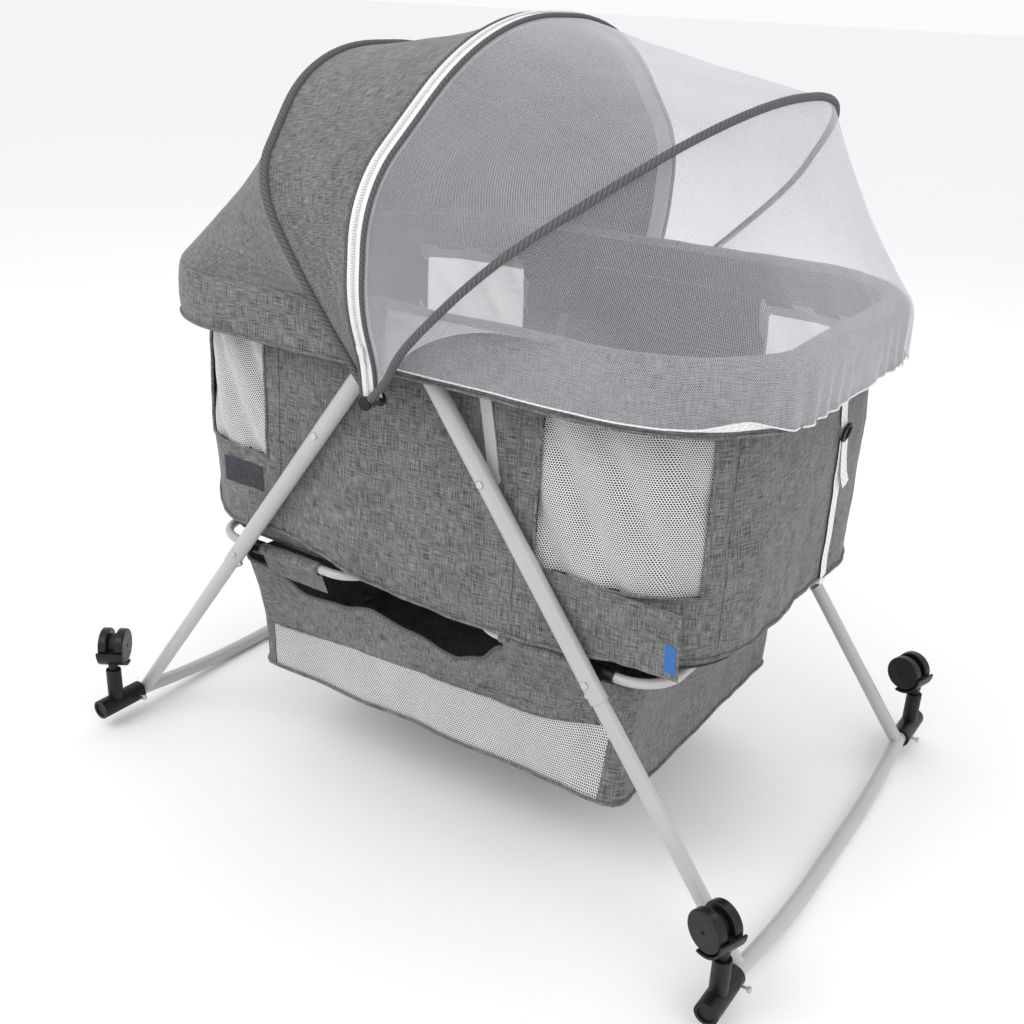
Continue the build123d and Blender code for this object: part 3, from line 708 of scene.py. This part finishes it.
# a closed pad: its section is a rounded slab, swept out from the middle to the edge and back
def mattressPad(steps=48):
    ring = lap(tuple(size - padLook["inset"] for size in tubPlan), 0.012)
    rows = []
    for step in range(steps + 1):
        angle = -math.pi / 2 + math.pi * step / steps
        reach = math.cos(angle) ** padLook["edge"]
        lift = math.copysign(abs(math.sin(angle)) ** padLook["crown"], angle)
        row = []
        for place, _ in ring:
            point = Vector((place.x * reach, place.y * reach, padLook["z"] + padLook["half"] * lift))
            point.z += padLook["dents"] * crease(point, (7, 7, 1), 4.2) * max(0.0, lift)
            row.append(point)
        rows.append(row)
    return cloth("mattressPad", rows, lining, weld=True)


pad = mattressPad()
print("stage: rim and mattress")

# the canopy: two hoods and two nets on three bows
canopyLook = {"across": 220, "ruffle": 0.0022, "slip": 0.05, "slipAt": 0.318, "slipWide": 0.024,
              "liningGap": 0.004, "netGather": 0.0030, "netSteps": 14, "skirtFrom": 0.60,
              "sideStop": 0.045, "bandLow": 0.962, "elastic": 0.0010}


def shoulderLine(end, share, count, lift):
    return [coverPoint(place, out, share, -lift) for place, out in halfLap(rimPlan, end, count)]


# a panel between two lines of points, sagging in its middle
def panelRows(first, last, count, sag, seed):
    rows = []
    for r in range(count + 1):
        t = r / count
        row = []
        for a, b in zip(first, last):
            point = a.lerp(b, t)
            out = canopyOut(point).normalized()
            span = (b - a).length
            drop = -sag * math.sin(math.pi * t) * min(1.0, span / 0.2)
            fold = crease(point, (7.0, 7.0, 9.0), seed) * canopyLook["ruffle"] * min(1.0, span / 0.1)
            row.append(point + out * (drop + fold * math.sin(math.pi * t)))
        rows.append(row)
    return rows


def inwards(line):
    return [point - canopyOut(point).normalized() * canopyLook["liningGap"] for point in line]


wide = canopyLook["across"]
rearLine = bowLine("rear", wide)
zipBack = bowLine("zip", wide, 0.0, -0.009)
zipFront = bowLine("zip", wide, 0.0, 0.009)
netLine = bowLine("net", wide)
headShoulder = shoulderLine(-1, 0.62, wide, 0.0008)
footShoulder = shoulderLine(1, 0.60, wide, 0.003)

rearHood = cloth("rearHood", panelRows(headShoulder, rearLine, 44, 0.012, 1.3), melange)
frontHood = cloth("frontHood", panelRows(rearLine, zipBack, 40, 0.007, 2.6), melange)
rearLining = cloth("rearLining", panelRows(inwards(headShoulder), inwards(rearLine), 24, 0.012, 1.3), lining)
frontLining = cloth("frontLining", panelRows(inwards(rearLine), inwards(zipBack), 20, 0.007, 2.6), lining)
rearNet = cloth("rearNet", panelRows(zipFront, netLine, 40, 0.004, 3.9), netCloth)


# how far round the cover the net's edge reaches: it has slipped up a little beside the near foot corner
def netStop(index):
    along = index / (wide - 1)
    side = smoothStep((abs(along - 0.5) * 2 - 0.25) / 0.15)
    slipped = math.exp(-((along - canopyLook["slipAt"]) / canopyLook["slipWide"]) ** 2)
    return 1.0 - canopyLook["sideStop"] * side - canopyLook["slip"] * slipped


# the front net is drawn over the rim and held under its lower edge by elastic
rimLine = halfLap(rimPlan, 1, wide)


def frontNetRows():
    rows = panelRows(netLine, footShoulder, 40, 0.006, 5.2)
    start = canopyLook["skirtFrom"]
    for step in range(1, canopyLook["netSteps"] + 1):
        t = step / canopyLook["netSteps"]
        row = []
        for index, (place, out) in enumerate(rimLine):
            away = abs(index / (wide - 1) - 0.5) * 2
            share = start + (netStop(index) - start) * t
            gather = canopyLook["netGather"] * t * math.sin(index * 1.15)
            gather *= math.exp(-((away - 0.26) / 0.16) ** 2)
            row.append(coverPoint(place, out, share, -0.003 - 0.0012 * t) + out * gather)
        rows.append(row)
    return rows


# the white band that shows where the net has slipped
def netBandRows(steps=4):
    rows = []
    for step in range(steps + 1):
        row = []
        for index in range(int(wide * 0.27), int(wide * 0.355)):
            top = netStop(index) - 0.004
            low = max(top, canopyLook["bandLow"])
            row.append(coverPoint(*rimLine[index], top + (low - top) * step / steps, -0.0018))
        rows.append(row)
    return rows


netSkirt = frontNetRows()
frontNet = cloth("frontNet", netSkirt, netCloth)
netElastic = tube("netElastic", resample(netSkirt[-1], 400), canopyLook["elastic"], webbing)
netBand = cloth("netBand", netBandRows(), webbing)

# bindings and piping over the bows: how far out and ahead of the bow they lie, and their radius
bindings = {
    "rearBinding": ("rear", 0.0015, 0.0, 0.0052),
    "netBinding": ("net", 0.0008, 0.0, 0.0046),
    "zipPipingBack": ("zip", 0.0015, -0.0105, 0.0030),
    "zipPipingFront": ("zip", 0.0015, 0.0105, 0.0030),
}
bound = {name: tube(name, bowLine(bow, 260, out, ahead), radius, binding, 10)
         for name, (bow, out, ahead, radius) in bindings.items()}

zipLook = {"points": 300, "half": 0.0095, "insideHalf": 0.012, "turns": 420, "coilPoints": 4200,
           "coilRadius": 0.0020, "coilThick": 0.0007}
tapeRows = []
for step in (-1, -0.66, -0.33, 0, 0.33, 0.66, 1):
    crown = 0.0030 + 0.0008 * (1 - abs(step))
    tapeRows.append(bowLine("zip", zipLook["points"], crown, zipLook["half"] * step))
zipTapeSheet = cloth("zipTapeSheet", tapeRows, zipTape)
insideRows = []
for step in (-1, -0.5, 0, 0.5, 1):
    insideRows.append(bowLine("zip", zipLook["points"], -0.0060, zipLook["insideHalf"] * step))
zipTapeInside = cloth("zipTapeInside", insideRows, zipTape)


def coilLine():
    count = zipLook["coilPoints"]
    made = []
    for index, point in enumerate(bowLine("zip", count, 0.0048)):
        angle = 2 * math.pi * zipLook["turns"] * index / count
        up = canopyOut(point).normalized() * math.cos(angle) * zipLook["coilRadius"] * 0.5
        made.append(point + up + Vector((1, 0, 0)) * math.sin(angle) * zipLook["coilRadius"])
    return made


zipCoil = tube("zipCoil", coilLine(), zipLook["coilThick"], zipTape, 5)
print("stage: canopy")

# the storage basket under the rings
basketLook = {
    "low": (0.290, 0.226, 0.022), "top": (0.316, 0.239, 0.022), "zLow": 0.126, "zTop": 0.304, "columns": 300,
    "mouth": [(-0.32, 0.286), (-0.25, 0.284), (-0.19, 0.258), (-0.13, 0.262), (-0.08, 0.274),
              (-0.02, 0.262), (0.05, 0.250), (0.085, 0.262), (0.12, 0.294), (0.32, 0.304)],
    "mesh": [(-0.30, 0.186), (-0.16, 0.200), (0.15, 0.209), (0.30, 0.240)],
    "meshFar": 0.2, "sag": 0.007, "folds": 0.0035, "meshGap": 0.0012,
}


def basketPoint(index, count, z, inset=0.0):
    share = (z - basketLook["zLow"]) / (basketLook["zTop"] - basketLook["zLow"])
    lowPlace, out = planAt(planLength(*basketLook["low"]) * index / count, *basketLook["low"])
    topPlace, _ = planAt(planLength(*basketLook["top"]) * index / count, *basketLook["top"])
    point = lowPlace.lerp(topPlace, share)
    point.z = z
    sag = -basketLook["sag"] * math.sin(math.pi * min(1, share))
    sag += basketLook["folds"] * crease(point, (12.0, 12.0, 8.0), 7.7)
    return point + out * (sag - inset)


def basketLow(point):
    return basketLook["zLow"]


def basketTop(point):
    return through(basketLook["mouth"], point.x) if point.y < -0.15 else basketLook["zTop"]


def meshTop(point):
    return through(basketLook["mesh"], point.x) if point.y < -0.15 else basketLook["meshFar"]


def basketRows(zFrom, zTo, rows, inset=0.0):
    count = basketLook["columns"]
    samples = [basketPoint(index, count, 0.2) for index in range(count + 1)]
    made = []
    for r in range(rows + 1):
        row = []
        for index, sample in enumerate(samples):
            low = zFrom(sample)
            high = zTo(sample)
            row.append(basketPoint(index, count, low + (high - low) * r / rows, inset))
        made.append(row)
    return made


def onNearFace(centre, column):
    distance = planLength(*basketLook["low"]) * (column + 0.5) / basketLook["columns"]
    place, _ = planAt(distance, *basketLook["low"])
    return place.y < -0.22 and abs(place.x) < 0.262


def offNearFace(centre, column):
    return not onNearFace(centre, column)


upperRows = basketRows(meshTop, basketTop, 22)
basketUpper = cloth("basketUpper", upperRows, melange, weld=True)
basketLower = cloth("basketLower", basketRows(basketLow, meshTop, 14), melange, skip=onNearFace, weld=True)
basketMesh = cloth("basketMesh", basketRows(basketLow, meshTop, 14, basketLook["meshGap"]), windowMesh,
                   skip=offNearFace, weld=True)
basketRing = lap((0.289, 0.225, 0.022), 0.02)
basketFloor = levelSheet("basketFloor", basketRing, 16, 0.1262, 0.002, 6, 8, melange)
lowLine = [basketPoint(index, 200, basketLook["zLow"], -0.001) for index in range(200)]
edgeLow = tube("basketEdgeLow", lowLine, 0.0024, melange, closed=True)
edgeTop = tube("basketEdgeTop", upperRows[-1][:-1], 0.0022, binding, closed=True)
nearEdge = [point for point in upperRows[0] if point.y < -0.2 and abs(point.x) < 0.268]
meshEdge = tube("basketMeshEdge", resample(nearEdge[1:40], 60), 0.0016, melange)

sleeveLook = {"spans": [(-0.255, -0.150), (0.135, 0.250)], "y": 0.254, "z": 0.320, "radius": 0.0085,
              "from": -100, "turn": 290, "across": 32, "around": 14, "drops": 4, "drop": 0.008, "in": 0.003}


# a sleeve of cloth that carries the basket: round the ring, then down to the basket's wall
def ringSleeve(name, xFrom, xTo, side):
    rows = []
    for r in range(sleeveLook["around"] + 1):
        angle = math.radians(sleeveLook["from"] + sleeveLook["turn"] * r / sleeveLook["around"])
        row = []
        for c in range(sleeveLook["across"] + 1):
            x = xFrom + (xTo - xFrom) * c / sleeveLook["across"]
            y = side * sleeveLook["y"]
            radius = sleeveLook["radius"] + 0.0012 * crease(Vector((x, y, angle * 0.1)), (30, 1, 3), 8.8)
            around = Vector((0, side * math.cos(angle), math.sin(angle))) * radius
            row.append(Vector((x, y, sleeveLook["z"])) + around)
        rows.append(row)
    skirt = []
    for step in range(sleeveLook["drops"], 0, -1):
        down = Vector((0, -side * sleeveLook["in"] * step, -sleeveLook["drop"] * step))
        skirt.append([point + down for point in rows[0]])
    return cloth(name, skirt + rows, melange)


ringSleeves = []
for side in (-1, 1):
    for xFrom, xTo in sleeveLook["spans"]:
        ringSleeves.append(ringSleeve(f"ringSleeve{len(ringSleeves) + 1}", xFrom, xTo, side))
print("stage: basket")

# the webbing strap at the foot end
strapLook = {"y": 0.066, "width": 0.020, "slider": 0.551, "lift": 0.0022, "upperTop": 0.634,
             "upperLong": 0.075, "lowerTop": 0.545, "lowerLong": 0.200, "freeTop": 0.543, "freeLong": 0.062,
             "ringWide": 0.0115, "ringHigh": 0.0105, "ringThick": 0.0022}
footward = Vector((1, 0, 0))


def strapPoint(z, lean=0.0):
    place = Vector((tub["x"], strapLook["y"] + lean, 0))
    point = tubPoint(place, footward, min(shareAt(place, z), 1.0), -strapLook["lift"])
    point.z = z
    return point


shares = [i / 14 for i in range(15)]
upperStrap = [strapPoint(strapLook["upperTop"] - strapLook["upperLong"] * t, -0.012 * (1 - t)) for t in shares]
lowerShares = [i / 40 for i in range(41)]
lowerStrap = [strapPoint(strapLook["lowerTop"] - strapLook["lowerLong"] * t, 0.010 * t) for t in lowerShares]
freeEnd = []
for t in shares:
    curl = footward * (0.0015 + 0.006 * t ** 2)
    height = strapLook["freeTop"] - strapLook["freeLong"] * t
    freeEnd.append(strapPoint(height, 0.004 + 0.010 * t ** 2) + curl)
wrapUnder = []
for t in [i / 6 for i in range(1, 7)]:
    wrapUnder.append(lowerStrap[-1] + Vector((-0.012 * t, 0, -0.010 * math.sin(math.pi * 0.5 * t))))
strapLines = {"strapUpper": upperStrap, "strapLower": lowerStrap + wrapUnder, "strapFreeEnd": freeEnd}
strapPieces = [ribbon(name, line, footward, strapLook["width"], webbing)
               for name, line in strapLines.items()]

ringCentre = strapPoint(strapLook["slider"]) + footward * 0.0035
ringLine = []
for angle in [2 * math.pi * index / 40 for index in range(40)]:
    across = strapLook["ringWide"] * math.cos(angle)
    up = strapLook["ringHigh"] * math.sin(angle)
    ringLine.append(ringCentre + Vector((0.002 * math.sin(angle), across, up)))
strapRing = tube("strapRing", ringLine, strapLook["ringThick"], blackPlastic, 10, closed=True)
print("stage: strap")

# finishes of the CAD nodes, found by a part of their names
nodeLooks = {
    "framePaint": ("leg_near", "leg_far", "rocker_frame", "brace_strips", "support_ring", "rim_tube",
                   "hub_plates"),
    "steel": ("rivets", "caster_pin", "leg_button"),
    "blackPlastic": ("ring_clamps", "canopy_hinges", "caster_sleeve", "caster_fork"),
    "wheelPlastic": ("caster_wheels",),
    "bowWire": ("rear_bow", "zip_bow", "net_bow"),
    "zipTape": ("zip_slider",),
    "hardboard": ("floor_board",),
    "greyMelange": ("tub_shell", "rim_cover", "basket", "hood"),
    "whiteMesh": ("mesh_windows",),
    "insectNet": ("_net",),
    "innerLining": ("mattress",),
    "whiteWebbing": ("foot_strap",),
}
for name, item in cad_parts.items():
    look = next(key for key, parts in nodeLooks.items() if any(part in name for part in parts))
    item.data.materials.clear()
    item.data.materials.append(bpy.data.materials[look])

# what each piece moves with
tubTrim = [hemPiping, sideTab, sideLabel, lowBand, lowBandEdge, *windowPiping, *panelSeams]
basketPieces = [basketUpper, basketLower, basketMesh, basketFloor, edgeLow, edgeTop, meshEdge, *ringSleeves]
tubPieces = [outerWall, innerWall, tubBase, tubFloor, pad, *netWindows, *tubTrim]
for piece in [*tubPieces, *basketPieces, *strapPieces, strapRing]:
    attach(piece, "hub")
    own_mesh(piece)
for name in ends:
    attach(covers[name], f"{name}_rim")
    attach(coverHems[name], f"{name}_rim")
    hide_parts(f"{name}_rim_cover")

for piece in (rearHood, rearLining):
    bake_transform(piece)
for piece in (frontHood, frontLining):
    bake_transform(piece)
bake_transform(rearNet)
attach(bound["rearBinding"], "rear_bow")
for piece in (bound["zipPipingBack"], bound["zipPipingFront"], zipTapeSheet, zipTapeInside, zipCoil):
    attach(piece, "zip_bow")
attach(bound["netBinding"], "net_bow")

# the front net, its elastic and its band move with the net bow
for piece in (frontNet, netElastic, netBand):
    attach(piece, "net_bow")
    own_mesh(piece)

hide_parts("tub_shell")
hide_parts("mesh_windows")
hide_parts("mattress")
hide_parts("foot_strap")
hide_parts("basket")
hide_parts("rear_hood")
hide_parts("front_hood")
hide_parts("rear_net")
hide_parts("front_net")


# each sheet's cut: its length as sewn, how it is held, what it rests on and its trim are listed, but cut()
# does nothing with them
def cut(piece, length, held, restsOn, extra=()):
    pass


rings = ["head_support_ring", "foot_support_ring"]
rimTubes = ["head_rim_tube", "foot_rim_tube"]
cut(outerWall, 2.08, "hung", rimTubes, tubTrim)
cut(innerWall, 2.05, "hung", rimTubes)
cut(tubBase, 2.00, "hung", [outerWall])
cut(tubFloor, 0.76, "stretched", rings)
for piece in netWindows:
    cut(piece, 0.195, "stretched", [outerWall])
for name in ends:
    cut(covers[name], 1.26, "stretched", [f"{name}_rim_tube"], [coverHems[name]])
cut(rearHood, 1.20, "stretched", ["rear_bow"], [bound["rearBinding"]])
cut(rearLining, 1.18, "stretched", ["rear_bow"])
cut(frontHood, 1.25, "stretched", ["rear_bow", "zip_bow"])
cut(frontLining, 1.23, "stretched", ["rear_bow", "zip_bow"])
cut(rearNet, 1.30, "stretched", ["zip_bow", "net_bow"])
cut(frontNet, 1.30, "stretched", ["net_bow", "foot_rim_tube"], [netElastic, bound["netBinding"], netBand])
cut(zipTapeSheet, 1.27, "stretched", ["zip_bow"], [zipCoil, bound["zipPipingBack"], bound["zipPipingFront"]])
cut(zipTapeInside, 1.25, "stretched", ["zip_bow"])
cut(basketUpper, 2.10, "hung", rings, [edgeTop, meshEdge])
cut(basketLower, 1.52, "hung", [basketUpper], [edgeLow])
cut(basketMesh, 0.57, "hung", [basketUpper])
cut(basketFloor, 0.58, "hung", [basketLower])
for piece in ringSleeves:
    cut(piece, 0.11, "folded", rings)
for piece, length in zip(strapPieces, (0.075, 0.215, 0.062)):
    cut(piece, length, "hung", [covers["foot"]])

# floor, light and camera
studioLook = {"floorHalf": 60, "dark": 0.92, "pale": 0.94, "cloud": 0.8, "grit": 300.0,
              "sky": (0.985, 0.99, 1.0, 1.0), "skyPower": 0.98, "aim": (0, 0, 0.45)}
half = studioLook["floorHalf"]
floorMesh = bpy.data.meshes.new("studioFloor")
floorCorners = [(-half, -half, 0), (half, -half, 0), (half, half, 0), (-half, half, 0)]
floorMesh.from_pydata(floorCorners, [], [(0, 1, 2, 3)])
paleTree, paleOut = pattern("paleFloor", {"Colour": "Color", "Height": "Float"})
palePlace = node(paleTree, "ShaderNodeTexCoord").outputs["Object"]
paleCloud = grain(paleTree, palePlace, (studioLook["cloud"],) * 3)
paleColour = blendColour(paleTree, paleCloud, grey(studioLook["dark"]), grey(studioLook["pale"]))
paleTree.links.new(paleColour, paleOut.inputs["Colour"])
paleTree.links.new(grain(paleTree, palePlace, (studioLook["grit"],) * 3), paleOut.inputs["Height"])
studioPale = material("studioPale", paleTree, {"Roughness": 0.9}, 0.02, 0.0002)
studioFloor = link("studioFloor", floorMesh, studioPale)

world = bpy.data.worlds.new("studio")
world.use_nodes = True
world.node_tree.nodes["Background"].inputs["Color"].default_value = studioLook["sky"]
world.node_tree.nodes["Background"].inputs["Strength"].default_value = studioLook["skyPower"]
bpy.context.scene.world = world
bpy.context.scene.view_settings.view_transform = "Standard"

lamps = {
    "keyLamp": {"place": (-1.1, -2.3, 2.6), "power": 34, "size": 1.8},
    "fillLamp": {"place": (2.4, -1.2, 1.7), "power": 12, "size": 1.6},
    "topLamp": {"place": (0.3, 1.6, 2.8), "power": 14, "size": 1.8},
}
for name, spec in lamps.items():
    data = bpy.data.lights.new(name, "AREA")
    data.energy = spec["power"]
    data.size = spec["size"]
    lamp = bpy.data.objects.new(name, data)
    lamp.location = spec["place"]
    aim = Vector(studioLook["aim"]) - Vector(spec["place"])
    lamp.rotation_euler = aim.to_track_quat("-Z", "Y").to_euler()
    bpy.context.scene.collection.objects.link(lamp)

cameraLook = {"place": (0.8292, -1.3145, 1.0225), "yaw": 32.95, "pitch": 23.19, "roll": 2.57, "lens": 42.91}
yaw, pitch, roll = (math.radians(cameraLook[key]) for key in ("yaw", "pitch", "roll"))
ahead = Vector((-math.sin(yaw) * math.cos(pitch), math.cos(yaw) * math.cos(pitch), -math.sin(pitch)))
right = Vector((math.cos(yaw), math.sin(yaw), 0))
upward = right.cross(ahead)
turnedRight = right * math.cos(roll) + upward * math.sin(roll)
turnedUp = upward * math.cos(roll) - right * math.sin(roll)
cameraData = bpy.data.cameras.new("studioCamera")
cameraData.lens = cameraLook["lens"]
camera = bpy.data.objects.new("studioCamera", cameraData)
turned = Matrix((turnedRight, turnedUp, -ahead)).transposed().to_4x4()
camera.matrix_world = Matrix.Translation(cameraLook["place"]) @ turned
bpy.context.scene.collection.objects.link(camera)
bpy.context.scene.camera = camera
print("stage: studio")
